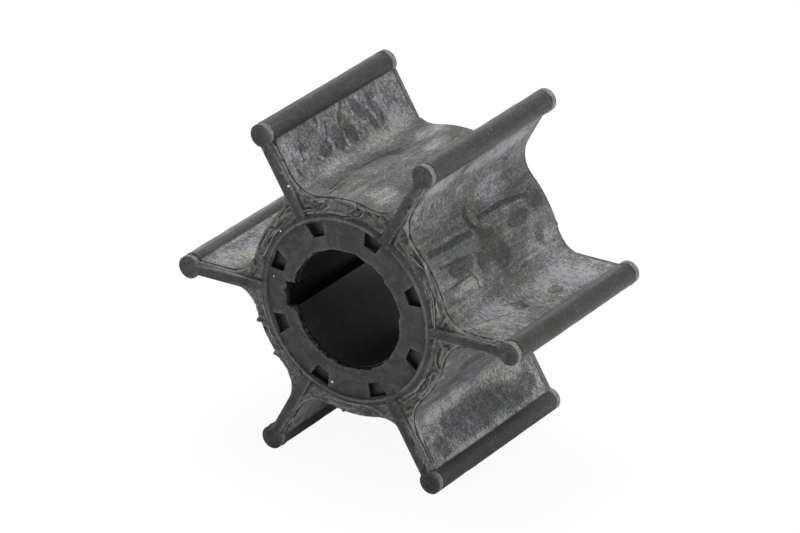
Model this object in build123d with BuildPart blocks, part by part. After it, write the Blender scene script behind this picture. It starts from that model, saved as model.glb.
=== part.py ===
from build123d import *

import os
from math import atan2, degrees, hypot

# Flexible pump impeller: six rubber vanes on a hub that is moulded over a keyed bush.
# Millimetres. The bore lies along Y with the front end towards -Y, and +Z is up.
# The origin is on the bore axis, half-way along the impeller, which lies on two of its vanes.

# Size of the moulding
overall_diameter = 65.0  # over the beads at the vane tips
overall_length = 35.5  # between the two end planes
vane_count = 6

# Vanes
web_thickness = 2.45
bead_diameter = 3.85  # round bead along each vane tip
bead_end_chamfer = 0.15  # rim at each end of a bead
bead_fillet = 1.0  # web into bead
root_fillet = 5.2  # web into hub

# Bush
bore_diameter = 20.0  # slides on the drive shaft
bush_wall = 5.2
key_width = 4.0
key_depth = 1.5  # out from the bore

# Rubber round the bush
sleeve_wall = 3.5  # hub rubber outside the bush
cover_thickness = 1.15  # rubber over each end of the bush
lip_setback = 0.2  # the rubber's edge stands this far back from the bore and keyway

# Ends of the moulding, where ring, ribs and beads reach the end plane
ring_width = 1.05  # raised ring over the bush's outer edge
ring_height = 0.35  # ring above the flat face inside it
parting_depth = 1.3  # end plane down to the parting line of the mould
rib_height = 0.9  # rib above the land at its foot
rib_margin = 0.375  # edge of the web to the foot of the rib

# Pockets left by the pins that held the bush in the mould
pocket_count = 8
pocket_inner_width = 2.25
pocket_outer_width = 3.7
pocket_length = 2.4  # along the radius
pocket_margin = 0.3  # in from the bush's outer edge
pocket_first_angle = 22.5

# Radii round the bore axis
bead_radius = bead_diameter / 2
bead_centre_radius = overall_diameter / 2 - bead_radius
bore_radius = bore_diameter / 2
bush_radius = bore_radius + bush_wall
hub_radius = bush_radius + sleeve_wall
ring_radius = bush_radius + ring_width
pocket_outer_radius = bush_radius - pocket_margin
pocket_inner_radius = pocket_outer_radius - pocket_length

# Distances along Y from the middle of the impeller
end_plane = overall_length / 2
face_plane = end_plane - ring_height
bush_end = face_plane - cover_thickness
parting_plane = end_plane - parting_depth
land_plane = end_plane - rib_height

# The land slopes from the parting line up to the foot of the ribs
land_rise = land_plane - parting_plane
land_taper = degrees(atan2(rib_margin, land_rise))
rib_width = web_thickness - 2 * rib_margin


def from_axis(vertex):
    """Distance of a sketch's corner from the bore axis."""
    return hypot(vertex.X, vertex.Y)


def vane_outline(reach):
    """Hub and webs, filleted into each other, out to a radius inside the beads."""
    with BuildSketch() as outline:
        Circle(hub_radius)
        with PolarLocations(reach / 2, vane_count):
            Rectangle(reach, web_thickness)
        fillet(outline.vertices().group_by(from_axis)[0], root_fillet)
    return outline.sketch


def bore_outline(setback):
    """Bore and keyway, with everything moved out by a setback."""
    with BuildSketch() as outline:
        Circle(bore_radius + setback)
        with Locations((-bore_radius / 2 - key_depth / 2 - setback / 2, 0)):
            Rectangle(bore_radius + key_depth + setback, key_width + 2 * setback)
    return outline.sketch


webs = vane_outline(bead_centre_radius)

with BuildPart() as rubber_body:
    # Front half, from the middle to the end plane: beads with a chamfered rim
    with BuildSketch(Plane.XZ):
        with PolarLocations(bead_centre_radius, vane_count):
            Circle(bead_radius)
    extrude(amount=end_plane)
    chamfer(rubber_body.faces().group_by(Axis.Y)[0].edges(), bead_end_chamfer)

    # Hub and webs up to the parting line, the webs filleted into the beads
    with BuildSketch(Plane.XZ) as section:
        add(webs)
        with PolarLocations(bead_centre_radius, vane_count):
            Circle(bead_radius)
        fillet(section.vertices().group_by(from_axis)[-1], bead_fillet)
    extrude(amount=parting_plane)

    # Land that slopes up from the parting line
    with BuildSketch(Plane.XZ.offset(parting_plane)):
        add(webs)
    extrude(amount=land_rise, taper=land_taper)

    # Ribs along the middle of the webs, and the ring round the face
    with BuildSketch(Plane.XZ.offset(parting_plane)):
        with PolarLocations((bush_radius + bead_centre_radius) / 2, vane_count):
            Rectangle(bead_centre_radius - bush_radius, rib_width)
        Circle(ring_radius)
    extrude(amount=parting_depth)
    with BuildSketch(Plane.XZ.offset(end_plane)):
        Circle(bush_radius)
    extrude(amount=-ring_height, mode=Mode.SUBTRACT)

    # Pockets through the cover, down to the bush
    with BuildSketch(Plane.XZ.offset(face_plane)):
        with PolarLocations(0, pocket_count, start_angle=pocket_first_angle):
            Polygon(
                (pocket_inner_radius, -pocket_inner_width / 2),
                (pocket_outer_radius, -pocket_outer_width / 2),
                (pocket_outer_radius, pocket_outer_width / 2),
                (pocket_inner_radius, pocket_inner_width / 2),
                align=None,
            )
    extrude(amount=-cover_thickness, mode=Mode.SUBTRACT)

    # Both ends are alike
    mirror(about=Plane.XZ)

    # Room for the bush, and its bore and keyway through the cover
    with BuildSketch(Plane.XZ):
        Circle(bush_radius)
    extrude(amount=bush_end, both=True, mode=Mode.SUBTRACT)
    with BuildSketch(Plane.XZ):
        add(bore_outline(lip_setback))
    extrude(amount=end_plane, both=True, mode=Mode.SUBTRACT)

with BuildPart() as bush:
    with BuildSketch(Plane.XZ):
        Circle(bush_radius)
        add(bore_outline(0), mode=Mode.SUBTRACT)
    extrude(amount=bush_end, both=True)

os.makedirs("parts", exist_ok=True)
rubber_body.part.label = "rubber_body"
export_step(rubber_body.part, "parts/rubber_body.step")
bush.part.label = "bush"
export_step(bush.part, "parts/bush.step")
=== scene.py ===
"""Flexible rubber pump impeller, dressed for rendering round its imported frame.

Laid out as an add-on: sizes and colours are properties, each group of pieces is an operator, and
the sidebar panel lists them. Run as a script, it builds the whole scene.
"""

from math import atan2, cos, hypot, pi, radians, sin

import bmesh
import bpy
from bpy.props import FloatProperty, FloatVectorProperty, IntProperty, PointerProperty
import numpy as np
from mathutils import Matrix, Vector, kdtree, noise


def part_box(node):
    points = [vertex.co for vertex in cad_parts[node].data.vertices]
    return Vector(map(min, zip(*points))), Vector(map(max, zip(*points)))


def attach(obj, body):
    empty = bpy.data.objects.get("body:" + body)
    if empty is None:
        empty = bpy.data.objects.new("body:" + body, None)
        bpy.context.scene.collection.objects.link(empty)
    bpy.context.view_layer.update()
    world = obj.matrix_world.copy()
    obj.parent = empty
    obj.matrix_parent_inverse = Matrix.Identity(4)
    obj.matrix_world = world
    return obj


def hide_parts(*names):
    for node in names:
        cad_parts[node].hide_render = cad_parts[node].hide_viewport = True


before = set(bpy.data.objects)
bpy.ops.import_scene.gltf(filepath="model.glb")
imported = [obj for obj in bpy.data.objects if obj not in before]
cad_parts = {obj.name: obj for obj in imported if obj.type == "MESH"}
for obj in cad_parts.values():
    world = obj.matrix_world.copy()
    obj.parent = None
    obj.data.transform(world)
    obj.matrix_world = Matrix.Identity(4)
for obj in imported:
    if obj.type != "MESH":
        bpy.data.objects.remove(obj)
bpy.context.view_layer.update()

bl_info = {
    "name": "Pump Impeller",
    "version": (1, 0, 0),
    "blender": (4, 5, 0),
    "location": "View3D > Sidebar > Impeller",
    "description": "Moulded rubber pump impeller with its bush, finishes and studio",
    "category": "Object",
}

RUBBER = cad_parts["rubber_body"]
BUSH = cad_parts["bush"]
MM = 0.001
AXLE = Vector((0.0, 1.0, 0.0))

# Measures taken from the frame, in metres
END_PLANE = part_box("rubber_body")[1].y
TIP_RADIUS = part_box("rubber_body")[1].x
BUSH_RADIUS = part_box("bush")[1].x
BUSH_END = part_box("bush")[1].y
FLOOR_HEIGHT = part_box("rubber_body")[0].z
DUST_AND_LIGHT_FROM = Vector((-0.5, 0.0, 0.86))
NOISE_SEED = 7


# Properties


class ImpellerSizes(bpy.types.PropertyGroup):
    """Sizes of the moulding that its dressing follows"""

    vane_count: IntProperty(name="Vanes", description="Vanes round the hub", default=6, min=2)
    hub_radius: FloatProperty(
        name="Hub radius", description="Rubber hub between the vanes", default=18.7 * MM, unit="LENGTH"
    )
    bead_radius: FloatProperty(
        name="Bead radius", description="Round bead along a vane's tip", default=1.925 * MM, unit="LENGTH"
    )
    web_thickness: FloatProperty(
        name="Web thickness", description="Vane between hub and bead", default=2.45 * MM, unit="LENGTH"
    )
    rib_width: FloatProperty(name="Rib width", description="Rib along a vane's end", default=1.7 * MM, unit="LENGTH")
    ring_radius: FloatProperty(
        name="Ring radius", description="Outside of the raised ring", default=16.25 * MM, unit="LENGTH"
    )
    parting_depth: FloatProperty(
        name="Parting depth", description="End plane to the parting line", default=1.3 * MM, unit="LENGTH"
    )
    rib_height: FloatProperty(name="Rib height", description="Rib above the land", default=0.9 * MM, unit="LENGTH")
    bore_radius: FloatProperty(name="Bore radius", description="Bore of the bush", default=10.0 * MM, unit="LENGTH")


class ImpellerColours(bpy.types.PropertyGroup):
    """Colours of the rubber, the bush and the studio"""

    rubber: FloatVectorProperty(
        name="Rubber", description="Bare rubber", subtype="COLOR", default=(0.03, 0.032, 0.029)
    )
    bloom: FloatVectorProperty(
        name="Bloom", description="Grey bloom on the rubber", subtype="COLOR", default=(0.125, 0.127, 0.127)
    )
    chalk: FloatVectorProperty(
        name="Chalk", description="Chalky bloom in patches", subtype="COLOR", default=(0.36, 0.36, 0.355)
    )
    bush: FloatVectorProperty(name="Bush", description="Moulded bush", subtype="COLOR", default=(0.012, 0.013, 0.012))
    floor: FloatVectorProperty(name="Floor", description="Pale floor", subtype="COLOR", default=(0.85, 0.85, 0.85))


def sizes():
    """The scene's sizes."""
    return bpy.context.scene.impeller_sizes


def colours():
    """The scene's colours."""
    return bpy.context.scene.impeller_colours


# Mesh helpers


def make_active(piece):
    """Selects one object and nothing else."""
    bpy.ops.object.select_all(action="DESELECT")
    piece.select_set(True)
    bpy.context.view_layer.objects.active = piece


def primitive(add, name, **settings):
    """A new mesh object, with nothing else selected."""
    bpy.ops.object.select_all(action="DESELECT")
    add(**settings)
    bpy.context.object.name = name
    return bpy.context.object


def edit_all(piece, operator, **settings):
    """Runs one operator of edit mode on the whole of a mesh."""
    make_active(piece)
    bpy.ops.object.mode_set(mode="EDIT")
    bpy.ops.mesh.select_all(action="SELECT")
    operator(**settings)
    bpy.ops.object.mode_set(mode="OBJECT")


def copy_of_node(node, name):
    """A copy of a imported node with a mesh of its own, its loose triangles merged."""
    make_active(node)
    bpy.ops.object.duplicate(linked=False)
    piece = bpy.context.object
    piece.name = name
    piece.data.name = name
    piece.parent = None
    for key in list(piece.keys()):
        del piece[key]
    edit_all(piece, bpy.ops.mesh.remove_doubles, threshold=0.002 * MM)
    return piece


def points_of(piece):
    """A mesh's points as rows of an array."""
    points = np.empty(len(piece.data.vertices) * 3, np.float32)
    piece.data.vertices.foreach_get("co", points)
    return points.reshape(-1, 3).astype(float)


def set_points(piece, points):
    """Writes an array of points back to a mesh."""
    piece.data.vertices.foreach_set("co", points.astype(np.float32).ravel())
    piece.data.update()


def slice_faces(piece, choose, axes, reach, step):
    """Cuts some faces by evenly spaced planes; they are chosen by radius, reach along the bore and facing along it."""
    mesh = piece.data
    centres = np.empty(len(mesh.polygons) * 3, np.float32)
    normals = np.empty(len(mesh.polygons) * 3, np.float32)
    mesh.polygons.foreach_get("center", centres)
    mesh.polygons.foreach_get("normal", normals)
    centres = centres.reshape(-1, 3)
    chosen = choose(from_axis(centres), np.abs(centres[:, 1]), np.abs(normals[1::3]))
    mesh.vertices.foreach_set("select", np.zeros(len(mesh.vertices), bool))
    mesh.edges.foreach_set("select", np.zeros(len(mesh.edges), bool))
    mesh.polygons.foreach_set("select", chosen)
    make_active(piece)
    bpy.context.tool_settings.mesh_select_mode = (False, False, True)
    bpy.ops.object.mode_set(mode="EDIT")
    bpy.ops.mesh.hide(unselected=True)
    count = int(reach / step)
    for axis in axes:
        for index in range(-count, count + 1):
            bpy.ops.mesh.select_all(action="SELECT")
            bpy.ops.mesh.bisect(plane_co=axis * step * (index + 0.37), plane_no=axis)
    bpy.ops.mesh.reveal(select=False)
    bpy.ops.object.mode_set(mode="OBJECT")


def displace(piece, name, size, depth, strength, group):
    """Moves a vertex group in and out along its normals by a cloud texture, and applies it."""
    texture = bpy.data.textures.new(name, "CLOUDS")
    texture.noise_scale = size
    texture.noise_depth = depth
    make_active(piece)
    modifier = piece.modifiers.new(name, "DISPLACE")
    modifier.texture = texture
    modifier.texture_coords = "LOCAL"
    modifier.strength = strength
    modifier.vertex_group = group
    bpy.ops.object.modifier_apply(modifier=name)


def ramp(value, start, end):
    """0 at start, 1 at end, smooth between."""
    t = np.clip((value - start) / (end - start), 0.0, 1.0)
    return t * t * (3.0 - 2.0 * t)


def from_axis(points):
    """How far points lie from the bore's axis."""
    return np.hypot(points[:, 0], points[:, 2])


def mark_edges(piece, reach):
    """Writes how far each point stands out of, or lies in, the surface round it, for worn edges with painted
    highlights and painted shade in creases, and how far it faces up, for dust and painted light from above.
    """
    mesh = bmesh.new()
    mesh.from_mesh(piece.data)
    mesh.normal_update()
    bend = []
    for vertex in mesh.verts:
        edges = [edge for edge in vertex.link_edges if len(edge.link_faces) == 2]
        weight = sum(edge.calc_length() for edge in edges)
        total = sum(edge.calc_face_angle_signed(0.0) * edge.calc_length() for edge in edges)
        bend.append(total / weight if weight else 0.0)
    beside = [[edge.other_vert(vertex).index for edge in vertex.link_edges] for vertex in mesh.verts]
    for _ in range(2):
        bend = [(value + sum(bend[i] for i in others) / len(others)) / 2 for value, others in zip(bend, beside)]
    found = {
        "edge_wear_and_highlight": [value / reach for value in bend],
        "crease_shade": [-value / reach for value in bend],
        # How far a point faces up: partly dust, partly painted light from above
        "dust": [vertex.normal.dot(DUST_AND_LIGHT_FROM) for vertex in mesh.verts],
    }
    mesh.free()
    for name, values in found.items():
        attribute = piece.data.attributes.new(name, "FLOAT", "POINT")
        attribute.data.foreach_set("value", [min(max(value, 0.0), 1.0) for value in values])


def finish_piece(piece, material, angle=35.0):
    """Last steps of each new piece: shading, finish and the body it rides on."""
    make_active(piece)
    bpy.ops.object.shade_smooth_by_angle(angle=radians(angle))
    piece.data.materials.clear()
    piece.data.materials.append(material)
    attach(piece, "root")
    return piece


# Node helpers


class Value:
    """A number, colour or place in a node tree, which sums can be written with."""

    def __init__(self, nodes, socket):
        self.nodes, self.socket = nodes, socket

    def __getitem__(self, output):
        """Another output of the same node."""
        return Value(self.nodes, self.socket.node.outputs[output])

    def __add__(self, other):
        return self.nodes.math("ADD", self, other)

    def __sub__(self, other):
        return self.nodes.math("SUBTRACT", self, other)

    def __rsub__(self, other):
        return self.nodes.math("SUBTRACT", other, self)

    def __mul__(self, other):
        return self.nodes.math("MULTIPLY", self, other)

    def __or__(self, other):
        """The larger of the two."""
        return self.nodes.math("MAXIMUM", self, other)

    def __abs__(self):
        return self.nodes.math("ABSOLUTE", self)

    def range(self, low, high, to_low=0.0, to_high=1.0, kind="SMOOTHSTEP"):
        """Maps a range to another."""
        inputs = {"Value": self, "From Min": low, "From Max": high, "To Min": to_low, "To Max": to_high}
        return self.nodes.node("MapRange", inputs, interpolation_type=kind)


class Nodes:
    """A short way to write a node tree: a material's, a node group's or the world's."""

    def __init__(self, tree):
        self.tree = tree

    def link(self, source, socket):
        """Joins a value, or sets a number or colour."""
        source = getattr(source, "socket", source)
        if isinstance(source, bpy.types.NodeSocket):
            self.tree.links.new(source, socket)
        elif hasattr(source, "__len__") and len(source) == 3 and socket.type == "RGBA":
            socket.default_value = (*source, 1.0)
        else:
            socket.default_value = source

    def node(self, kind, inputs=(), **settings):
        """The first output of a new shader node with its settings and inputs."""
        made = self.tree.nodes.new("ShaderNode" + kind)
        for key, value in settings.items():
            setattr(made, key, value)
        for key, value in dict(inputs).items():
            self.link(value, made.inputs[key])
        return Value(self, made.outputs[0])

    def math(self, operation, a, b=0.0):
        """One sum."""
        return self.node("Math", {0: a, 1: b}, operation=operation)

    def vector(self, operation, *inputs, **named):
        """One sum of places."""
        return self.node("VectorMath", {**dict(enumerate(inputs)), **named}, operation=operation)

    def noise(self, size, detail=3.0, roughness=0.55, distortion=0.0, seed=0.0, stretch=None, place=None):
        """Noise with features of a size in mm, stretched along the axes."""
        if stretch:
            place = self.node("Mapping", {"Vector": self.place, "Scale": stretch}, vector_type="TEXTURE")
        inputs = {
            "Vector": place or self.place,
            "W": seed,
            "Scale": 1.0 / (size * MM),
            "Detail": detail,
            "Roughness": roughness,
            "Distortion": distortion,
        }
        return self.node("TexNoise", inputs, noise_dimensions="4D")

    def mix(self, factor, a, b, blend="MIX"):
        """Mixes two colours."""
        return self.node("Mix", {0: factor, 6: a, 7: b}, data_type="RGBA", blend_type=blend)[2]

    def mix_value(self, factor, a, b):
        """Mixes two numbers."""
        return self.node("Mix", {0: factor, 2: a, 3: b}, data_type="FLOAT")

    def hold(self, value):
        """Makes the distances that follow wait for a value, so the renderer's small shader stack isn't filled."""
        self.start = self.vector("MULTIPLY_ADD", value, (1e-12, 1e-12, 1e-12), self.start)

    def blob(self, centre, along, length, width, edge, wander):
        """1 inside an oval of a place, direction and half sizes, fading at a ragged edge."""
        focus = (length**2 - width**2) ** 0.5
        inputs = {
            "Place": self.start,
            "One": centre - along * focus,
            "Other": centre + along * focus,
            "Focus": 4 * focus**2,
            "Width": 2 * width,
        }
        reach = self.node("Group", inputs, node_tree=oval_nodes())
        return (reach + wander).range(1.0 + edge, 1.0 - edge)

    def stroke(self, places, width, wander):
        """1 along a line through some places, its edges ragged."""
        nearest = None
        for start, end in zip(places, places[1:]):
            way = end - start
            inputs = {"Place": self.start, "Start": start, "Way": way, "Share": way / way.dot(way)}
            gap = self.node("Group", inputs, node_tree=segment_nodes())
            nearest = gap if nearest is None else self.math("MINIMUM", nearest, gap)
        return (nearest + wander * (width * 0.35)).range(width * 1.25, width * 0.8)


def new_group(name, vectors, numbers=()):
    """An empty node group: its tree, its inputs and the socket of its one result."""
    tree = bpy.data.node_groups.new(name, "ShaderNodeTree")
    for kind, sockets in (("NodeSocketVector", vectors), ("NodeSocketFloat", numbers)):
        for socket in sockets:
            tree.interface.new_socket(socket, in_out="INPUT", socket_type=kind)
    tree.interface.new_socket("Result", in_out="OUTPUT", socket_type="NodeSocketFloat")
    return Nodes(tree), tree.nodes.new("NodeGroupInput").outputs, tree.nodes.new("NodeGroupOutput").inputs[0]


def oval_nodes():
    """How far out in an oval a place lies, 1 being its edge, from its two foci."""
    found = bpy.data.node_groups.get("reach_in_oval")
    if found:
        return found
    n, given, result = new_group("reach_in_oval", ("Place", "One", "Other"), ("Focus", "Width"))
    gaps = [n.vector("DISTANCE", given["Place"], given[end])["Value"] for end in ("One", "Other")]
    both = n.math("POWER", gaps[0] + gaps[1], 2.0)
    reach = n.math("SQRT", (both - given["Focus"]) | 0.0)
    n.link(n.math("DIVIDE", reach, given["Width"]), result)
    return n.tree


def segment_nodes():
    """Distance of a place from a straight piece of a line."""
    found = bpy.data.node_groups.get("gap_to_segment")
    if found:
        return found
    n, given, result = new_group("gap_to_segment", ("Place", "Start", "Way", "Share"))
    off = n.vector("SUBTRACT", given["Place"], given["Start"])
    share = n.vector("DOT_PRODUCT", off, given["Share"])["Value"].range(0.0, 1.0, kind="LINEAR")
    foot = n.vector("SCALE", given["Way"], Scale=share)
    n.link(n.vector("DISTANCE", off, foot)["Value"], result)
    return n.tree


# Finishes


def polar(around, out, along=0.0):
    """A place from degrees round the bore, and mm from its axis and along it."""
    angle = radians(around)
    return Vector((cos(angle) * out, along, sin(angle) * out)) * MM


def place_on_hub(around, along):
    """Centre and turn of a mark on the hub, its local axes round the hub, along it and outwards."""
    return polar(around, sizes().hub_radius / MM, along), Matrix.Rotation(pi / 2 - radians(around), 3, "Y")


def place_on_vane(vane, side, out, along):
    """Centre and turn of a mark on a vane's face, its local axes outwards, along the bore and off the face."""
    angle = vane * 2 * pi / sizes().vane_count
    outwards = Vector((cos(angle), 0, sin(angle)))
    off_face = side * Vector((-sin(angle), 0, cos(angle)))
    centre = (outwards * out + AXLE * along) * MM + off_face * sizes().web_thickness / 2
    return centre, Matrix((side * outwards, AXLE, off_face)).transposed()


# Marks on the hub: degrees round it, then along the bore and half sizes round and along in mm, any twist in degrees
HUB_STAINS = (
    (28.5, -0.6, 2.7, 2.6, 20), (20.5, 0.6, 2.6, 1.9), (22.5, -4, 1.7, 1.6, 30), (35.5, 13.6, 1.7, 2.2),
    (31.5, 8, 1.3, 3), (26.5, -9.5, 1.5, 3.2), (18, 11.4, 1.2, 1.2), (103, 3.6, 1.5, 1.3, 20), (152, 3, 2.6, 5, 10),
    (212, -2, 3.2, 4.4), (275, 5, 3, 5, 25), (331, -4, 2, 6),
)
HUB_CHALK = (
    (78, -11.5, 2.4, 3), (8, -11, 1.8, 4.4), (52, 5.5, 2.2, 4.4), (12, 11, 3.2, 4.6), (102, 13, 2, 4),
    (90, 9, 1.5, 3.2), (54, -9, 1.5, 4.6), (15, -9.5, 1.6, 4), (160, -9, 2.5, 4), (225, 7, 2.5, 5), (288, -6, 2.2, 4),
)
# Marks on the vanes, by vane and side: out from the axis, along the bore, half sizes out and along in mm, any twist
VANE_STAINS = {
    (2, -1): (
        (23.4, -6.3, 1.2, 1.6, 20), (25, 0.6, 3, 1.3, 10), (24.2, -2.6, 2.2, 1.5, -15), (26.4, 4.6, 2.4, 1, 20),
        (25.4, 8.6, 2.8, 1, 10), (24, 6.6, 1.8, 0.8), (26.5, -11.4, 1.8, 0.5, 12),
    ),
    (1, -1): ((21.8, 10.4, 1.5, 0.35, 60),),
    (0, 1): ((24.2, -4.3, 1.2, 1.2), (25.6, 3.7, 1.3, 1.7, 20)),
    (5, 1): ((25, -2, 3, 9), (26, 9, 2.4, 6), (23.4, -7.5, 1.2, 3), (26.5, -12.5, 1.6, 1.8), (26, 8, 1.6, 3, 30)),
    (3, -1): ((25, 2, 2, 5, 15),),
    (4, -1): ((24, -4, 2.5, 3.5),),
}
VANE_CHALK = {
    (2, -1): ((20, -6.5, 1.5, 6), (19.8, 6, 1.5, 7), (21.8, 12.5, 2.4, 2.6)),
    (1, -1): ((26.6, -11, 1.7, 4.6), (26, 5, 2, 9)),
    (0, 1): ((22.5, -9, 3.4, 5), (24, 8, 4, 6.5)),
    (5, 1): (
        (23, 10, 1.8, 3), (21.2, -11.5, 1.4, 2.6), (20.6, -5, 1.5, 4.5), (20.4, 5.5, 1.5, 4), (28.7, -4, 0.55, 10),
    ),
    (3, -1): ((23, -8, 3, 5), (25.5, 5, 3, 9), (25, -13, 3, 3), (30, -7, 1.5, 8), (31, 0, 2.2, 17)),
    (4, 1): ((23, 3, 3, 6), (25, -13.5, 5.5, 5)),
}
# Dark strokes on the hub: half width in mm, then degrees round it and mm along the bore of each place
HUB_STROKES = (
    (0.55, (59, 3.9), (55.4, 0.4), (51.5, -1.5), (46.9, -2.7), (41.2, -2.9), (36, -1.8), (31, 0.4), (20, 2.6)),
    (0.55, (39.6, -14.8), (38.4, -9.5), (38, -4)), (0.42, (42, -0.4), (42.3, 6), (38.9, 12.2)),
    (0.26, (31.5, -14.2), (28.5, -6.6)), (0.2, (20.1, -14.1), (20.8, -8.3)),
    (0.24, (25.1, -8.8), (16.4, -6.8), (9, -7.1), (3.3, -4.6)),
    (0.13, (-0.1, -1.8), (-6.5, 4.1), (-15.7, 12.3), (-12.5, 14.3), (-6.1, 13.8)),
    (0.3, (106, -13.5), (109.5, -8), (108.4, -1), (104.6, 5.4)), (0.16, (102.5, -16), (104.5, -11), (103, -6)),
    (0.18, (112.8, 2), (100.8, 2.2)), (0.22, (150, -9), (156, -3), (153, 5)), (0.2, (214, -8), (209, 0), (212, 9)),
    (0.24, (275, -3), (270, 4), (277, 12)),
)
# Dark strokes on the vanes, by vane and side: half width in mm, then mm out from the axis and along for each place;
# the wide one along vane 5's root is a painted shadow
VANE_STROKES = {
    (2, -1): (
        (0.3, (29.3, -5.7), (27.5, -6)), (0.24, (27.4, -3.8), (25.4, -4.8), (23.8, -6.6), (22.6, -7)),
        (0.34, (28.7, 1.4), (26.8, -0.6), (25, -1.2), (23.1, -2.1)), (0.16, (23.1, -9.3), (21.8, -8.1), (20.8, -6.6)),
        (0.12, (22.2, 3.1), (20, 4.2)), (0.14, (21.1, -2.8), (19.5, -2.3)),
        (0.2, (28.1, -10.7), (25.6, -12.1), (24, -12.3)), (0.24, (23.1, -14.6), (21.3, -14.3)),
    ),
    (0, 1): ((0.14, (21.5, -14.6), (22.8, -10.9), (24.6, -6.4)), (0.3, (22, -5.4), (23.3, -3))),
    # The wide stroke along the root of vane 5 is a painted shadow
    (5, 1): ((0.22, (24.1, -15.7), (27.9, -16)), (0.4, (19.3, -15), (19.6, -6), (19.4, 4))),
}
# Films of flash on the front land: root and lip, each degrees round, mm from the axis, mm behind the end plane
FILMS = (
    (
        ((110, 16.1, 0.62), (103, 17.8, 0.98), (97, 18.5, 1.16), (90, 18.6, 1.18), (84, 18.55, 1.12)),
        ((109, 15.9, 0.42), (99.4, 16.3, 0.45), (90.4, 16.3, 0.34), (85.2, 17.2, 0.12), (81.3, 18.5, 0.14)),
    ),
    (
        ((89.6, 15.9, 0.32), (80.3, 16.7, 0.66), (77.4, 17.6, 0.88), (77.4, 18.4, 0.95)),
        ((89, 16.1, 0.16), (80.6, 16.9, 0.26), (78.3, 17.6, 0.34), (78.4, 18.4, 0.55)),
    ),
    (
        ((109.9, 15.9, 0.4), (105, 16.3, 0.55), (98.9, 17.1, 0.8)),
        ((109.4, 16.2, 0.12), (104.5, 16.7, 0.18), (98.4, 17.4, 0.42)),
    ),
    (
        ((119.5, 16.8, 0.78), (114.4, 16.85, 0.8), (109.6, 16.7, 0.75)),
        ((119, 17, 0.38), (114, 17.2, 0.28), (110, 17, 0.3)),
    ),
    (
        ((24, 17.4, 0.9), (18.5, 17.2, 0.85), (13.7, 17, 0.8), (7, 16.7, 0.7), (2.8, 16.6, 0.66)),
        ((24, 17.6, 0.65), (18.5, 17.5, 0.45), (13.5, 17.3, 0.36), (7, 17, 0.28), (3.2, 16.9, 0.4)),
    ),
    (((19, 18, 0.95), (12, 17.9, 0.95), (7, 18.1, 0.95)), ((18.5, 17.8, 0.66), (12, 17.6, 0.52), (7.5, 17.8, 0.6))),
    (((45, 17.2, 0.85), (40, 17.5, 0.9), (35.5, 17.9, 0.95)), ((45, 17.5, 0.55), (40, 17.9, 0.42), (36, 18.2, 0.62))),
    (
        ((-11, 17, 0.8), (-16.9, 17.2, 0.85), (-21, 18.2, 0.95)),
        ((-11, 17.3, 0.42), (-16.5, 17.6, 0.36), (-20, 18.3, 0.58)),
    ),
    (
        ((-54, 16.9, 0.8), (-48, 16.9, 0.78), (-41.8, 17, 0.8)),
        ((-53, 17.2, 0.4), (-48, 17.3, 0.3), (-42.5, 17.3, 0.42)),
    ),
    (
        ((-88, 17.2, 0.85), (-96, 17.1, 0.82), (-104, 17.2, 0.85)),
        ((-88.5, 17.5, 0.5), (-96, 17.6, 0.42), (-103, 17.5, 0.52)),
    ),
    (
        ((143, 17.5, 0.88), (150, 17.2, 0.82), (157, 17.5, 0.88)),
        ((143.5, 17.8, 0.55), (150, 17.6, 0.4), (156.5, 17.8, 0.55)),
    ),
)
# Nubs left by the mould's vents, and pale crumbs: degrees round, mm from the axis, mm along the bore, mm across
NUBS = (
    (-160.2, 18.5, -16.6, 1), (-140.8, 18.4, -16.6, 1.15), (160, 17.6, -16.85, 0.7), (-95, 18.45, -16.6, 0.7),
    (150, 18.5, 16.6, 0.6), (-38, 18.5, 16.6, 0.6),
)
CRUMBS = (
    (117.9, 21.6, -17.72, 0.42), (138.8, 16.25, -17.35, 0.34), (-119.4, 17.21, -17.05, 0.3),
    (-103.2, 13.81, -17.42, 0.34), (169.8, 14.06, -17.42, 0.24), (61, 12.9, 17.42, 0.28), (-131, 16.9, 17.2, 0.3),
)
# Fine lines on the front land, painted shadows in the folds and under the films and painted highlights on their edges:
# half width in mm, then degrees and mm out
LAND_PAINTED_SHADOWS = (
    (0.16, (109.5, 16.2), (106.2, 17.1), (103.6, 18), (100.6, 18.5)), (0.2, (97, 18.35), (89.8, 18.15), (83.6, 18.1)),
    (0.16, (82.3, 17.8), (86.3, 16.9), (90, 15.95), (84.6, 16.2), (80.1, 17.4), (78.4, 18.5)),
    (0.24, (115, 20.5), (111.1, 19.1), (104.5, 18.6)), (0.24, (78, 17.9), (69.4, 18.7), (64.4, 20.6)),
    (0.14, (48.5, 21.2), (38, 19.2), (26.8, 18.4), (19, 18.4), (9, 18.6)),
    (0.14, (-9.6, 17.4), (-5.6, 18.5), (-8.2, 19.5)), (0.14, (-27.5, 16.9), (-38.5, 17.2), (-48, 16.6)),
    (0.12, (162, 16.5), (145, 16.5), (132.5, 16.7)), (0.12, (-171.3, 16.4), (-153.3, 16.8), (-139, 16.9)),
)
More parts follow.
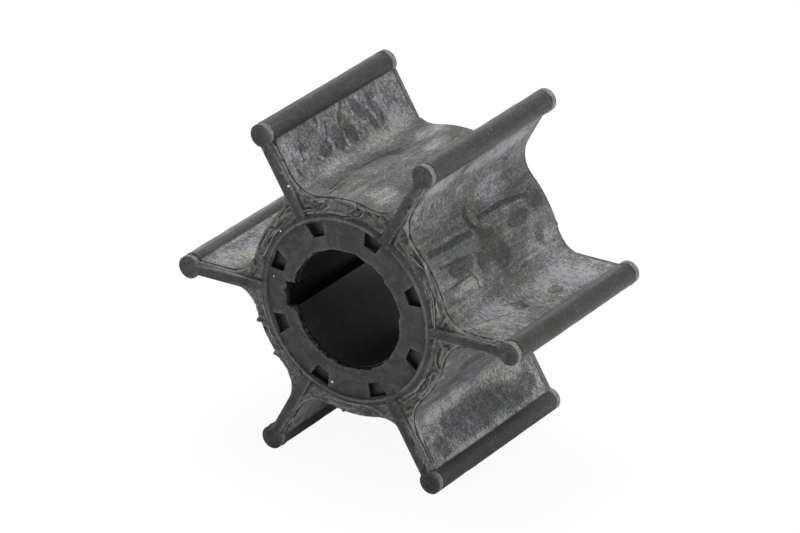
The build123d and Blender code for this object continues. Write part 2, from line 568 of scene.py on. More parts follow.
LAND_PAINTED_HIGHLIGHTS = (
    (0.11, (118.9, 16.5), (111.6, 16.45), (107.3, 16.5)),
    (0.15, (105.2, 18), (98.7, 18.75), (91.1, 18.9), (83.8, 18.75)), (0.11, (105.4, 16.35), (99.3, 17.45)),
    (0.11, (89, 16.35), (84, 16.6), (80.8, 17.2), (79.4, 18.3)),
    (0.1, (49.3, 20.4), (37.4, 18.6), (26, 17.9), (18.8, 17.7), (10, 17.9)),
    (0.1, (31.5, 17.2), (19.2, 16.9), (9.3, 16.5), (1.7, 16.4)), (0.1, (-10.6, 17), (-15.5, 17.1), (-21, 18.2)),
    (0.1, (-26, 17.3), (-33.8, 17.9), (-42.3, 18)), (0.1, (-49.5, 16.4), (-41.8, 16.9), (-30.2, 16.8)),
    (0.1, (-105, 17.2), (-93.3, 16.7), (-78, 16.5)), (0.1, (160.6, 16.75), (146, 16.75), (133.3, 17)),
    (0.1, (-168.8, 16.7), (-153.8, 17.1), (-139, 17.2)),
)


def marks(n, wander, on_hub, on_vanes, edge):
    """1 inside any of the marks of a kind."""
    found = 0.0
    placed = [(place_on_hub(*row[:2]), row[2:]) for row in on_hub]
    placed += [(place_on_vane(*face, *row[:2]), row[2:]) for face, rows in on_vanes.items() for row in rows]
    for (centre, turn), (across, along, *twist) in placed:
        turned = turn @ Matrix.Rotation(radians(sum(twist)), 3, "Z")
        long_way = turned.col[0 if across > along else 1]
        length, width = max(across, along) * MM, min(across, along) * MM
        found = n.math("MAXIMUM", found, n.blob(centre, long_way, length, width, edge, wander))
        n.hold(found)
    return found


def lines(n, wander, table):
    """1 on any of some lines, each a half width in mm and places."""
    found = 0.0
    for width, places in table:
        found = n.math("MAXIMUM", found, n.stroke(places, width * MM, wander))
        n.hold(found)
    return found


def material(lay_out):
    """Turns a function that lays out nodes into one that gives its material, which is made once."""

    def made():
        found = bpy.data.materials.get(lay_out.__name__)
        if not found:
            found = bpy.data.materials.new(lay_out.__name__)
            found.use_nodes = True
            found.node_tree.nodes.clear()
            n = Nodes(found.node_tree)
            output = n.tree.nodes.new("ShaderNodeOutputMaterial")
            n.place = n.start = n.node("TexCoord")["Object"]
            n.link(lay_out(n), output.inputs[0])
        return found

    return made


@material
def bloomed_rubber(n):
    """Matt black rubber with a grey, streaky bloom, darker and smoother on its end faces (partly painted shade) and
    beads; painted highlights on edges and painted shade in creases, pockets and folds.
    """
    size, colour = sizes(), colours()

    # Zones along and round the bore
    axes = n.node("SeparateXYZ", {0: n.place})
    end_reach = abs(axes["Y"])
    across = n.vector("MULTIPLY", n.place, (1, 0, 1))
    from_bore = n.vector("LENGTH", across)["Value"]
    parting = END_PLANE - size.parting_depth
    face = END_PLANE - 0.35 * MM
    past_parting = end_reach.range(parting, parting + 0.1 * MM)
    in_ring = from_bore.range(size.ring_radius + 0.12 * MM, size.ring_radius + 0.02 * MM)
    ends = end_reach.range(END_PLANE - 0.2 * MM, END_PLANE - 0.14 * MM) | in_ring
    land = past_parting * (1.0 - ends)
    web_end = TIP_RADIUS - 2 * size.bead_radius
    bead = from_bore.range(web_end + 0.25 * MM, web_end + 0.6 * MM)
    bead_end = bead * end_reach.range(END_PLANE - 2.1 * MM, END_PLANE - 1.3 * MM)

    # Bloom at several scales, brushed along the bore on the hub and outwards on the vanes
    broad = n.noise(8, 2, seed=1.3)
    patches = n.noise(2.4, 5, 0.68, 0.9, seed=4.1)
    grain = n.noise(0.34, 3, 0.8, seed=7.7)
    long_streaks = n.noise(0.8, 4, 0.65, 0.3, seed=2.0, stretch=(1, 14, 1))
    fine_streaks = n.noise(0.28, 2, 0.6, seed=2.9, stretch=(1, 9, 1))
    strokes = n.noise(0.75, 5, 0.72, 0.8, seed=8.3, stretch=(3, 0.5, 3))
    hub = from_bore.range(size.hub_radius + 3.4 * MM, size.hub_radius + 0.4 * MM)
    brushed = n.mix_value(hub, strokes, long_streaks * 0.6 + fine_streaks * 0.4)
    pits = n.noise(0.55, 4, 0.75, 1.1, seed=18.5, stretch=(1, 0.7, 1))
    flakes = n.noise(1.3, 4, 0.7, 1.5, seed=15.0).range(0.54, 0.58)
    flecks = n.noise(0.8, 3, 0.7, 0.8, seed=16.0).range(0.6, 0.65)
    tone = (broad - 0.5) * 0.5
    for part, share in (
        (patches, n.mix_value(hub, 1.35, 0.85)),
        (brushed, n.mix_value(hub, 1.3, 1.5)),
        (pits, n.mix_value(hub, 1.5, 0.6)),
        (grain, 1.9),
    ):
        tone = tone + (part - 0.5) * share
    tone = tone + flakes * 0.07 - flecks * 0.16 + n.mix_value(hub, 0.67, 0.52)

    # Stains, dark strokes (one a painted shadow along a vane's root) and chalky patches, with ragged edges
    wander = (patches - 0.5) * 1.5
    stain_and_shadow = marks(n, wander * 0.5 + (pits - 0.5) * 1.6, HUB_STAINS, VANE_STAINS, 0.3)
    # The strokes are stains, with one painted shadow along a vane's root
    drawn = [(width, [place_on_hub(*place)[0] for place in line]) for width, *line in HUB_STROKES]
    for side, rows in VANE_STROKES.items():
        drawn += [(width, [place_on_vane(*side, *place)[0] for place in line]) for width, *line in rows]
    stain_and_shadow = stain_and_shadow * strokes.range(0.3, 0.55, 0.5, 0.9) | lines(n, wander, drawn)
    chalk = marks(n, wander * 1.3, HUB_CHALK, VANE_CHALK, 0.55)
    tone = tone + chalk * 0.28 - stain_and_shadow * 0.4
    # The beads' upper sides are painted lighter, partly dust and partly painted light from above
    upwards = n.node("Attribute", attribute_name="dust")["Fac"]
    bead_dust_and_light = upwards.range(0.55, 0.98, 0.06, 0.5) + bead_end * 0.13 + chalk * 0.25
    for part, share in ((long_streaks, 0.5), (patches, 0.6), (grain, 0.7), (pits, 0.5)):
        bead_dust_and_light = bead_dust_and_light + (part - 0.5) * share
    tone = n.mix_value(bead, tone, bead_dust_and_light)

    tones = n.node("ValToRGB", {0: tone})
    stops = tones.socket.node.color_ramp.elements
    rubber, bloom, chalky = (Vector(shade) for shade in (colour.rubber, colour.bloom, colour.chalk))
    stops[0].position, stops[0].color = 0.06, (*rubber, 1.0)
    stops[1].position, stops[1].color = 1.0, (*chalky, 1.0)
    for place, shade in ((0.32, rubber.lerp(bloom, 0.4)), (0.58, bloom), (0.8, bloom.lerp(chalky, 0.36))):
        stops.new(place).color = (*shade, 1.0)
    tint = n.mix(n.noise(5, 2, seed=12.0).range(0.42, 0.62), (1.0, 1.0, 0.955), (0.975, 0.985, 1.055))
    base = n.mix(1.0, tones, tint, "MULTIPLY")

    # End faces: darker, partly as painted shade, even, with faint turned rings; the lands between are scuffed
    rings = n.noise(0.35, 2, place=n.node("CombineXYZ", {0: from_bore}))
    turned = n.mix(rings.range(0.3, 0.7), (0.023, 0.025, 0.023), (0.031, 0.033, 0.031))
    turned = n.mix(patches.range(0.4, 0.66), turned, (0.052, 0.054, 0.052))
    turned = n.mix(grain.range(0.55, 0.8, 0.0, 0.5), turned, (0.085, 0.087, 0.085))
    turned = n.mix(bead * pits.range(0.45, 0.62, 0.0, 0.45), turned, (0.1, 0.102, 0.096))
    scuffed = n.mix(patches.range(0.35, 0.6), (0.04, 0.042, 0.038), (0.1, 0.102, 0.097))
    scuffed = n.mix(pits.range(0.47, 0.38, 0.0, 0.8), scuffed, (0.022, 0.023, 0.021))
    quiet = axes["X"].range(6 * MM, 15 * MM, 1.0, 0.6)
    scuffed = n.mix(quiet * grain.range(0.5, 0.66, 0.0, 0.8), scuffed, (0.21, 0.212, 0.205))
    ledge = from_bore.range(size.hub_radius + 0.4 * MM, size.hub_radius + 2.2 * MM)
    chalky = n.mix(pits.range(0.38, 0.6), (0.07, 0.072, 0.07), (0.26, 0.262, 0.256))
    scuffed = n.mix(ledge * 0.85, scuffed, chalky)
    near_ring = from_bore.range(size.ring_radius + 1.1 * MM, size.ring_radius + 0.5 * MM)
    scuffed = n.mix(near_ring * rings.range(0.5, 0.58, 0.0, 0.55), scuffed, (0.032, 0.034, 0.032))
    # Painted shadows in the land's folds and under its films, and painted highlights on their edges
    front = axes["Y"].range(-parting, -parting - 0.2 * MM)
    for table, share, shade in (
        (LAND_PAINTED_SHADOWS, 0.85, (0.014, 0.015, 0.013)),
        (LAND_PAINTED_HIGHLIGHTS, pits.range(0.36, 0.52, 0.24, 0.8), (0.27, 0.272, 0.264)),
    ):
        n.start = across
        drawn = lines(n, wander, [(width, [polar(*place) for place in line]) for width, *line in table])
        scuffed = n.mix(front * drawn * share, scuffed, shade)
    # A painted highlight along the ring's crest
    crest = abs(from_bore - (size.ring_radius - 0.75 * MM))
    crest = crest.range(0.3 * MM, 0.08 * MM) * broad.range(0.4, 0.6, 0.0, 0.6)
    crest = crest * strokes.range(0.3, 0.5, 0.4, 1.0)
    turned = n.mix(crest * end_reach.range(face, face + 0.2 * MM), turned, (0.13, 0.132, 0.128))
    # The end faces' darker tone is partly painted shade
    base = n.mix(ends, base, turned)
    base = n.mix(land, base, scuffed)

    # Worn edges are light, partly as painted highlights, and creases are dark as painted shade
    wear_and_highlight = n.node("Attribute", attribute_name="edge_wear_and_highlight")["Fac"]
    crease_shade = n.node("Attribute", attribute_name="crease_shade")["Fac"]
    wear_and_highlight = wear_and_highlight * (pits.range(0.4, 0.56) | land * 0.8) * n.mix_value(in_ring | bead, 1.0, 0.3)
    crease_shade = crease_shade * n.mix_value(past_parting | hub, 0.45, 1.0)
    base = n.mix(wear_and_highlight * 0.8, base, (0.28, 0.28, 0.272))
    # Painted shade in the creases
    base = n.mix(crease_shade * 0.8, base, (0.018, 0.019, 0.017))

    # Inside the pockets and under the lips it is painted near black as shade, paler in patches where the lip round the
    # bore is torn
    inside = from_bore.range(size.ring_radius - 1.0 * MM, size.ring_radius - 1.1 * MM)
    inside = inside * end_reach.range(face - 0.04 * MM, face - 0.12 * MM)
    torn = from_bore.range(size.bore_radius + 1.2 * MM, size.bore_radius + 0.5 * MM)
    torn = torn * n.noise(0.45, 3, 0.8, seed=21.0).range(0.5, 0.62)
    base = n.mix(inside, base, n.mix(torn, (0.008, 0.009, 0.007), (0.11, 0.112, 0.108)))

    # The parting line is a thin dark crack with gaps
    crack = n.noise(2.4, 3, 0.65, seed=9.0)
    line = abs(end_reach - parting) - crack.range(0.5, 0.68, 0.0, 0.22 * MM)
    line = line.range(0.16 * MM, 0.05 * MM) * crack.range(0.34, 0.44)
    base = n.mix(line * 0.9, base, (0.012, 0.012, 0.011))

    # Fine bright specks
    speck = n.noise(0.2, 1, seed=3.3).range(0.7, 0.76) * n.noise(1.6, 2, seed=5.9).range(0.46, 0.62)
    base = n.mix(speck * 0.8, base, (0.55, 0.55, 0.54))

    rough = n.mix_value(ends, n.mix_value(tone.range(0.2, 0.8), 0.4, 0.68), 0.5)
    height = (grain * 0.6 + brushed * 0.6 + pits * 0.8) * n.mix_value(ends, 1.0, 0.35)
    bump = n.node("Bump", {"Height": height, "Distance": 0.22 * MM, "Strength": 1.0})
    inputs = {"Base Color": base, "Roughness": rough, "Normal": bump, "Specular IOR Level": 0.22}
    return n.node("BsdfPrincipled", inputs)


@material
def satin_bush(n):
    """Satin black moulding, smooth and a little streaked along the bore, with painted shade over its upper part and in
    the keyway.
    """
    streaks = n.noise(0.8, 3, seed=5.0, stretch=(1, 9, 1))
    dust = n.noise(1.5, 4, 0.65, seed=6.0)
    axes = n.node("SeparateXYZ", {0: n.place})
    # The upper part of the bush is painted darker as shade; the lower part keeps the bush colour, with paler blotches
    lower_part = (axes["Z"] + dust * (3 * MM)).range(1 * MM, -7 * MM)
    base = n.mix(lower_part, (0.005, 0.006, 0.005), colours().bush)
    base = n.mix(lower_part * dust.range(0.45, 0.75), base, (0.03, 0.033, 0.028))
    # Painted shade in the keyway, which also shines less
    keyway_shade = axes["X"].range(-9.85 * MM, -10.0 * MM) * abs(axes["Z"]).range(2.4 * MM, 2.1 * MM)
    base = n.mix(keyway_shade, base, (0.003, 0.003, 0.003))
    rough = n.mix_value(streaks, 0.38, 0.55)
    bump = n.node("Bump", {"Height": streaks, "Distance": 0.03 * MM, "Strength": 0.6})
    shine = keyway_shade.range(0.0, 1.0, 0.5, 0.18)
    inputs = {"Base Color": base, "Roughness": rough, "Normal": bump, "Specular IOR Level": shine}
    return n.node("BsdfPrincipled", inputs)


@material
def pale_crumb(n):
    """Pale dry crumb."""
    base = n.mix(n.noise(0.15, seed=30.0).range(0.4, 0.6), (0.42, 0.42, 0.4), (0.78, 0.78, 0.76))
    return n.node("BsdfPrincipled", {"Base Color": base, "Roughness": 0.8})


@material
def pale_floor(n):
    """Pale floor that keeps the object's shadow and reads as white from the camera."""
    matt = n.node("BsdfDiffuse", {"Color": colours().floor})
    glow = n.node("Emission", {"Color": (1.0, 1.0, 1.0), "Strength": 1.0})
    seen = n.node("LightPath")["Is Camera Ray"]
    return n.node("MixShader", {0: seen * 0.94, 1: matt, 2: glow})


# Operators


class IMPELLER_OT_studio(bpy.types.Operator):
    """Pale floor, soft lamps, even surroundings and the camera"""

    bl_idname = "impeller.studio"
    bl_label = "Studio"

    lens_azimuth: FloatProperty(
        name="Azimuth", description="Camera round the object from its front", default=radians(34.83), subtype="ANGLE"
    )
    lens_elevation: FloatProperty(
        name="Elevation", description="Camera above the level", default=radians(25.12), subtype="ANGLE"
    )
    lens_roll: FloatProperty(
        name="Roll", description="Camera about its own axis", default=radians(-1.55), subtype="ANGLE"
    )
    distance: FloatProperty(
        name="Distance", description="Camera to the object's middle", default=0.8773, unit="LENGTH"
    )

    def execute(self, context):
        self.floor()
        self.lamps(context.scene)
        self.camera(context.scene)
        context.scene.view_settings.view_transform = "Standard"
        return {"FINISHED"}

    def floor(self):
        """A plane at the height of the beads that the impeller lies on."""
        floor = primitive(bpy.ops.mesh.primitive_plane_add, "floor", size=6.0, location=(0, 0, FLOOR_HEIGHT))
        bpy.ops.object.transform_apply(location=True)
        floor.data.materials.append(pale_floor())

    def lamps(self, scene):
        """Even surroundings that the camera sees as white, a broad lamp above and two weaker ones."""
        world = bpy.data.worlds.new("surroundings")
        world.use_nodes = True
        n = Nodes(world.node_tree)
        background = n.tree.nodes["Background"]
        background.inputs["Color"].default_value = (1.0, 1.0, 1.0, 1.0)
        seen = n.node("LightPath")["Is Camera Ray"]
        n.link(seen.range(0.0, 1.0, 0.45, 0.96), background.inputs["Strength"])
        scene.world = world
        self.lamp("lamp_above", (-0.2, 0.3, 0.9), 0.6, 9.0)
        self.lamp("lamp_right", (0.9, 0.00, 0.3), 0.5, 3.5)
        self.lamp("lamp_front", (0.45, -0.9, 0.15), 0.6, 3.0)

    def lamp(self, name, place, width, power):
        """One square soft lamp, aimed at the object."""
        bpy.ops.object.light_add(type="AREA", location=place)
        lamp = bpy.context.object
        lamp.name = name
        lamp.data.size = width
        lamp.data.energy = power
        lamp.rotation_euler = (-Vector(place)).to_track_quat("-Z", "Y").to_euler()

    def camera(self, scene):
        """A long lens, looking down on the front end from the right."""
        aim = Vector((-1.187, -0.558, 0.468)) * MM
        azimuth, elevation = self.lens_azimuth, self.lens_elevation
        back = Vector((sin(azimuth) * cos(elevation), -cos(azimuth) * cos(elevation), sin(elevation)))
        bpy.ops.object.camera_add()
        camera = bpy.context.object
        camera.name = "camera"
        turn = (-back).to_track_quat("-Z", "Y").to_matrix().to_4x4()
        roll = Matrix.Rotation(self.lens_roll, 4, "Z")
        camera.matrix_world = Matrix.Translation(aim + back * self.distance) @ turn @ roll
        camera.data.sensor_width = 36.0
        camera.data.lens = 247.17
        camera.data.clip_start = 0.05
        camera.data.clip_end = 20.0
        scene.camera = camera


class IMPELLER_OT_moulding(bpy.types.Operator):
    """Rubber moulding with eased edges, a sloping ring, a torn lip, a wavy skin and crumpled lands"""

    bl_idname = "impeller.moulding"
    bl_label = "Rubber Moulding"

    edge_ease: FloatProperty(
        name="Edge ease", description="Rounding of the moulding's edges", default=0.07 * MM, unit="LENGTH"
    )
    ring_slope: FloatProperty(
        name="Ring slope", description="How far the ring falls outwards", default=0.45 * MM, unit="LENGTH"
    )
    bead_dish: FloatProperty(
        name="Bead dish", description="Hollow in the ends of the beads", default=0.13 * MM, unit="LENGTH"
    )
    lip_tear: FloatProperty(
        name="Lip tear", description="Raggedness of the lip round the bore", default=0.34 * MM, unit="LENGTH"
    )
    crumple: FloatProperty(
        name="Crumple", description="Height of the folds on the lands", default=0.4 * MM, unit="LENGTH"
    )

    def execute(self, context):
        size = sizes()
        noise.seed_set(NOISE_SEED)
        piece = copy_of_node(RUBBER, "rubber_moulding")
        bpy.ops.object.mode_set(mode="EDIT")
        bpy.ops.mesh.select_all(action="SELECT")
        bpy.ops.mesh.dissolve_limited(angle_limit=radians(0.4))
        bpy.ops.mesh.select_mode(type="EDGE")
        bpy.ops.mesh.select_all(action="DESELECT")
        bpy.ops.mesh.edges_select_sharp(sharpness=radians(40))
        bpy.ops.mesh.bevel(offset=self.edge_ease, segments=2, clamp_overlap=True)
        bpy.ops.mesh.select_all(action="SELECT")
        bpy.ops.mesh.remove_doubles(threshold=0.004 * MM)
        bpy.ops.object.mode_set(mode="OBJECT")
        self.refine(piece, size)
        edit_all(piece, bpy.ops.mesh.quads_convert_to_tris, quad_method="BEAUTY", ngon_method="BEAUTY")
        self.sculpt(piece, size)
        self.weather(piece, size)
        mark_edges(piece, radians(14))
        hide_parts("rubber_body")
        finish_piece(piece, bloomed_rubber())
        return {"FINISHED"}

    def refine(self, piece, size):
        """Cuts the faces finer, most of all on the lands, the rings and round the bore."""
        flatwise = Vector((1, 0, 0)), Vector((0, 0, 1))
        parting = END_PLANE - size.parting_depth

        def is_flat(radius, reach, facing):
            return (facing > 0.9) & (reach > parting + 0.1 * MM)

        def is_land_or_ring(radius, reach, facing):
            land = (reach < END_PLANE - size.rib_height + 0.1 * MM) & (radius > size.ring_radius - 0.1 * MM)
            land &= radius < size.hub_radius + 1.8 * MM
            ring = (radius > size.ring_radius - 1.2 * MM) & (reach > END_PLANE - 0.1 * MM)
            return is_flat(radius, reach, facing) & (land | ring)

        def is_bead_end(radius, reach, facing):
            return is_flat(radius, reach, facing) & (radius > TIP_RADIUS - 2 * size.bead_radius - 0.3 * MM)

        def is_lip(radius, reach, facing):
            return is_flat(radius, reach, facing) & (radius < size.bore_radius + 2.2 * MM)

        def is_side(radius, reach, facing):
            return (facing < 0.3) & (reach < parting) & (radius > size.ring_radius)

        slice_faces(piece, is_flat, flatwise, TIP_RADIUS, 0.85 * MM)
        slice_faces(piece, is_land_or_ring, flatwise, size.hub_radius + 1.8 * MM, 0.22 * MM)
        slice_faces(piece, is_bead_end, flatwise, TIP_RADIUS, 0.42 * MM)
        slice_faces(piece, is_lip, flatwise, size.bore_radius + 2.2 * MM, 0.35 * MM)
        slice_faces(piece, is_side, (AXLE,), parting, 1.2 * MM)

    def sculpt(self, piece, size):
        """Slopes the rings into the lands, dishes the beads' ends, tears the lips and crumples the lands."""
        points = points_of(piece)
        radius, reach, end = from_axis(points), np.abs(points[:, 1]), np.sign(points[:, 1])
        pitch = 2 * pi / size.vane_count
        turn = (np.arctan2(points[:, 2], points[:, 0]) + pitch / 2) % pitch - pitch / 2
        out, off = radius * np.cos(turn), np.abs(radius * np.sin(turn))
        parting = END_PLANE - size.parting_depth
        land = END_PLANE - size.rib_height
        off_rib = ramp(off, size.rib_width / 2 + 0.02 * MM, size.rib_width / 2 + 0.45 * MM)

        # How far each point of a land lies from the parting line
        on_land = (reach > parting + 0.15 * MM) & (reach < land + 0.1 * MM) & (radius > size.ring_radius - 0.1 * MM)
        away = np.zeros(len(points))
        outline = kdtree.KDTree(len(points))
        for index in np.nonzero(np.abs(reach - parting) < 0.09 * MM)[0]:
            outline.insert(points[index], int(index))
        outline.balance()
        for index in np.nonzero(on_land)[0]:
            away[index] = outline.find(points[index])[2]

        # The ring's crest is near its inner edge; outwards it falls away into the land, and the ribs run over it
        crest = size.ring_radius - 0.8 * MM
        steps = (crest - 0.4 * MM, crest, size.ring_radius, size.ring_radius + 0.9 * MM, size.ring_radius + 1.5 * MM)
        falls = (0.1 * MM, 0.0, self.ring_slope, size.rib_height - 0.13 * MM, size.rib_height)
        slope = END_PLANE - np.interp(radius, steps, falls)
        on_ring = (reach > END_PLANE - 0.3 * MM) & (radius < size.ring_radius + 0.1 * MM)
        on_ring &= radius > size.ring_radius - 1.2 * MM
        share = np.where(on_ring, off_rib, np.where(on_land, off_rib * ramp(away, 0.25 * MM, 0.6 * MM), 0.0))
        reach = reach + share * (slope - reach)

        # Each bead's end is hollow inside a narrow rim
        from_bead = np.hypot(out - (TIP_RADIUS - size.bead_radius), off)
        dish = ramp(from_bead, size.bead_radius - 0.35 * MM, size.bead_radius - 0.9 * MM)
        reach = reach - np.where(reach > END_PLANE - 0.05 * MM, dish * self.bead_dish, 0.0)

        # Folds on the land, fading towards the parting line, the ring and the ribs
        for index in np.nonzero(on_land & (away > 0.3 * MM))[0]:
            weight = ramp(away[index], 0.3 * MM, 0.75 * MM) * off_rib[index]
            weight *= ramp(radius[index], size.ring_radius + 0.1 * MM, size.ring_radius + 0.8 * MM)
            reach[index] += weight * self.crumple * self.folds(points[index])

        points[:, 1] = end * reach
        self.tear_lip(points, size)
        set_points(piece, points)
        edit_all(piece, bpy.ops.mesh.dissolve_degenerate, threshold=0.004 * MM)

    def folds(self, point):
        """Height of crumpled rubber at a point, from -1 to 1."""
        around, radius = atan2(point[2], point[0]), hypot(point[0], point[2])
        spot = Vector((around * 9.0, radius / MM, point[1] / MM))
        spot += 0.9 * noise.noise_vector(spot * 0.4)
        ridge = 1.0 - 3.0 * abs(noise.noise(spot * 0.55))
        fine = 1.0 - 3.0 * abs(noise.noise(spot * 1.3 + Vector((5.0, 0.0, 3.0))))
        return 0.7 * max(ridge, -0.4) + 0.35 * max(fine, -0.3) + 0.3 * noise.noise(spot * 2.8) - 0.2

    def tear_lip(self, points, size):
        """Moves the points near the bore's opening about, in the plane of the ends."""
        x, z = points[:, 0], points[:, 2]
        opening = size.bore_radius + 0.2 * MM
        from_bore = from_axis(points) - opening
        from_key = np.maximum(-x - opening - 1.5 * MM, np.abs(z) - 2.2 * MM)
        away = np.where(x < 0, np.minimum(from_bore, from_key), from_bore)
        weight = ramp(away, 1.1 * MM, 0.1 * MM)
        weight[np.abs(points[:, 1]) < BUSH_END + 0.1 * MM] *= 0.3
        for index in np.nonzero(weight > 0.01)[0]:
            spot = Vector(points[index]) / MM
            shift = noise.noise_vector(spot * 0.55) + 0.5 * noise.noise_vector(spot * 1.7)
            points[index, 0] += shift.x * weight[index] * self.lip_tear
            points[index, 2] += shift.z * weight[index] * self.lip_tear

    def weather(self, piece, size):
        """Slow waves and a fine unevenness on the sides."""
        points = points_of(piece)
        parting = END_PLANE - size.parting_depth
        weights = ramp(from_axis(points), BUSH_RADIUS + 1.2 * MM, BUSH_RADIUS + 2.2 * MM)
        weights *= ramp(np.abs(points[:, 1]), parting - 0.2 * MM, parting - 1.2 * MM)
        group = piece.vertex_groups.new(name="side")
        for index in np.nonzero(weights > 0.004)[0]:
            group.add([int(index)], float(min(weights[index], 1.0)), "REPLACE")
        displace(piece, "waves", 3.5 * MM, 1, 0.12 * MM, group.name)
        displace(piece, "skin", 1.2 * MM, 2, 0.06 * MM, group.name)


class IMPELLER_OT_collars(bpy.types.Operator):
    """Thin uneven collar of flash a little behind each end of each bead"""

    bl_idname = "impeller.collars"
    bl_label = "Bead Collars"

    behind_end: FloatProperty(
        name="Behind the end", description="End plane to the collar", default=1.6 * MM, unit="LENGTH"
    )
    thickness: FloatProperty(name="Thickness", description="Collar's thickness", default=0.2 * MM, unit="LENGTH")

    def execute(self, context):
        size = sizes()
        first = primitive(
            bpy.ops.mesh.primitive_torus_add,
            "collar",
            location=(TIP_RADIUS - size.bead_radius, self.behind_end - END_PLANE, 0),
            rotation=(pi / 2, 0, 0),
            major_segments=72,
            minor_segments=10,
            major_radius=size.bead_radius - 0.03 * MM,
            minor_radius=self.thickness / 2,
        )
        bpy.ops.object.transform_apply(location=True, rotation=True)
        for index in range(2 * size.vane_count):
            make_active(first)
            bpy.ops.object.duplicate(linked=False)
            collar = bpy.context.object
            vane, back = index % size.vane_count, index >= size.vane_count
            collar.name = f"collar_{vane + 1}_{'back' if back else 'front'}"
            points = points_of(collar)
            points[:, 1] *= -1 if back else 1
            turn = np.array(Matrix.Rotation(-vane * 2 * pi / size.vane_count, 3, "Y"))
            set_points(collar, self.uneven(points @ turn.T, vane, size))
            if back:
                edit_all(collar, bpy.ops.mesh.flip_normals)
            mark_edges(collar, radians(40))
            finish_piece(collar, bloomed_rubber())
        make_active(first)
        bpy.ops.object.delete()
        return {"FINISHED"}

    def uneven(self, points, vane, size):
        """Wanders along the bead, and sinks into it here and there."""
        angle = vane * 2 * pi / size.vane_count
        middle = np.array((cos(angle), 0.0, sin(angle))) * (TIP_RADIUS - size.bead_radius)
        for index, point in enumerate(points):
            spot = Vector(point) / MM
            out = point - middle
            out[1] = 0.0
            sink = 0.16 * MM * (noise.noise(spot * 0.8) - 0.15) + 0.07 * MM * noise.noise(spot * 2.6)
            points[index] += out / np.linalg.norm(out) * min(sink, 0.05 * MM)
            points[index, 1] += 0.35 * MM * noise.noise(spot * 0.45 + Vector((9, 9, 9)))
        return points


class IMPELLER_OT_films(bpy.types.Operator):
    """Thin curled films of flash that the mould left on the front land"""

    bl_idname = "impeller.films"
    bl_label = "Flash Films"

    thickness: FloatProperty(name="Thickness", description="Film's thickness", default=0.14 * MM, unit="LENGTH")
    bulge: FloatProperty(name="Bulge", description="Rise of a film's middle", default=0.14 * MM, unit="LENGTH")

    def execute(self, context):
        for index, edges in enumerate(FILMS):
            places = [[polar(around, out, behind - END_PLANE / MM) for around, out, behind in edge] for edge in edges]
            self.film(index, *places)
        return {"FINISHED"}

    def film(self, index, root, lip):
        """A sheet between two edges, given a thickness."""
        grid = {"x_subdivisions": 44, "y_subdivisions": 9, "size": 1.0}
        film = primitive(bpy.ops.mesh.primitive_grid_add, f"flash_film_{index + 1}", **grid)
        points = points_of(film)
        for number, (u, v, _) in enumerate(points + 0.5):
            place = self.on_edge(root, u).lerp(self.on_edge(lip, u), v)
            spot = place / MM
            place.y -= self.bulge * 4 * v * (1 - v)
            ragged = 0.25 * v * MM * noise.noise(spot * 1.4 + Vector((3, 1, index)))
            place += (self.on_edge(lip, u) - self.on_edge(root, u)).normalized() * ragged
            place.y += 0.08 * MM * noise.noise(spot * 1.1)
            points[number] = place
        set_points(film, points)
        make_active(film)
        thicken = film.modifiers.new("thickness", "SOLIDIFY")
        thicken.thickness = self.thickness
        thicken.offset = 0.0
        bpy.ops.object.modifier_apply(modifier=thicken.name)
        edit_all(film, bpy.ops.mesh.normals_make_consistent, inside=False)
        points = points_of(film)
        points[:, 1] = np.maximum(points[:, 1], -END_PLANE)
        set_points(film, points)
        mark_edges(film, radians(20))
        finish_piece(film, bloomed_rubber())

    def on_edge(self, edge, share):
        """The point at a share of an edge's length in steps, smoothed."""
        place = min(max(share, 0.0), 1.0) * (len(edge) - 1)
        step = min(int(place), len(edge) - 2)
        before, after = edge[max(step - 1, 0)], edge[min(step + 2, len(edge) - 1)]
        t = place - step
        straight = edge[step].lerp(edge[step + 1], t * t * (3 - 2 * t))
        return straight + (edge[step + 1] - before) / 2 * t * (1 - t) ** 2 - (after - edge[step]) / 2 * t * t * (1 - t)


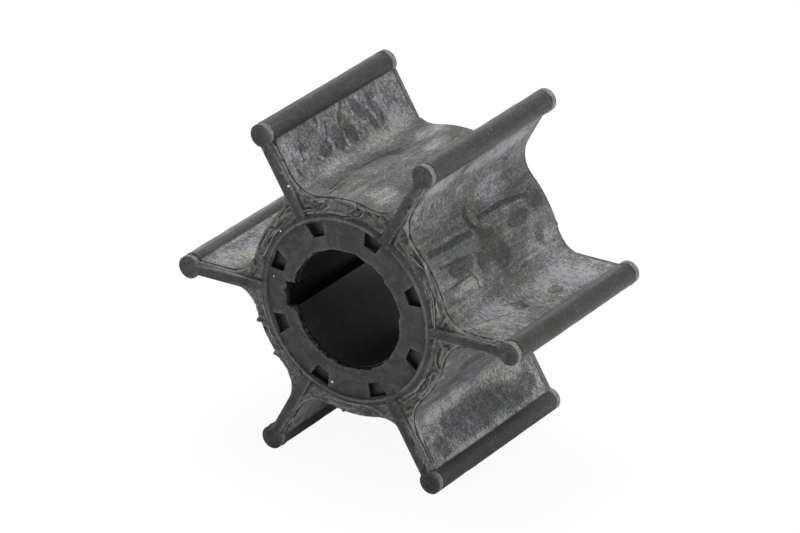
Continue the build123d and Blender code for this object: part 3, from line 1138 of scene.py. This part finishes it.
class IMPELLER_OT_nubs(bpy.types.Operator):
    """Small torn nubs at the parting lines, and pale crumbs of dust on the ends"""

    bl_idname = "impeller.nubs"
    bl_label = "Nubs and Crumbs"

    def execute(self, context):
        for kind, table, finish in (("nub", NUBS, bloomed_rubber()), ("crumb", CRUMBS, pale_crumb())):
            for index, (*place, width) in enumerate(table):
                self.lump(f"{kind}_{index + 1}", polar(*place), width * MM, finish)
        return {"FINISHED"}

    def lump(self, name, place, width, finish):
        """A ball pushed about into a lump."""
        lump = primitive(bpy.ops.mesh.primitive_ico_sphere_add, name, subdivisions=3, radius=width / 2)
        points = points_of(lump)
        for number, point in enumerate(points):
            spot = Vector(point) / width * 1.8 + place / MM
            points[number] = point * (1.0 + 0.75 * noise.noise(spot)) + place
        points[:, 1] = np.clip(points[:, 1], -END_PLANE - 0.1 * MM, END_PLANE + 0.1 * MM)
        set_points(lump, points)
        mark_edges(lump, radians(60))
        finish_piece(lump, finish, angle=60.0)


class IMPELLER_OT_bush(bpy.types.Operator):
    """Finish of the bush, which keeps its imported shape"""

    bl_idname = "impeller.bush"
    bl_label = "Bush"

    def execute(self, context):
        BUSH.data.materials.clear()
        BUSH.data.materials.append(satin_bush())
        make_active(BUSH)
        bpy.ops.object.shade_smooth_by_angle(angle=radians(30))
        return {"FINISHED"}


class IMPELLER_PT_panel(bpy.types.Panel):
    """Sizes, colours and pieces of the impeller"""

    bl_idname = "IMPELLER_PT_panel"
    bl_label = "Pump Impeller"
    bl_space_type = "VIEW_3D"
    bl_region_type = "UI"
    bl_category = "Impeller"

    def draw(self, context):
        for group in (context.scene.impeller_sizes, context.scene.impeller_colours):
            box = self.layout.box()
            for name in group.bl_rna.properties.keys():
                if name not in {"rna_type", "name"}:
                    box.prop(group, name)
        for operator in STEPS:
            self.layout.operator(operator.bl_idname)


# Running


STEPS = (
    IMPELLER_OT_studio,
    IMPELLER_OT_bush,
    IMPELLER_OT_moulding,
    IMPELLER_OT_collars,
    IMPELLER_OT_films,
    IMPELLER_OT_nubs,
)
CLASSES = (ImpellerSizes, ImpellerColours, *STEPS, IMPELLER_PT_panel)


def register():
    for item in CLASSES:
        bpy.utils.register_class(item)
    bpy.types.Scene.impeller_sizes = PointerProperty(type=ImpellerSizes)
    bpy.types.Scene.impeller_colours = PointerProperty(type=ImpellerColours)


def unregister():
    del bpy.types.Scene.impeller_colours
    del bpy.types.Scene.impeller_sizes
    for item in reversed(CLASSES):
        bpy.utils.unregister_class(item)


def main():
    """Builds the scene."""
    register()
    for step in STEPS:
        group, name = step.bl_idname.split(".")
        getattr(getattr(bpy.ops, group), name)()


if __name__ == "__main__":
    main()
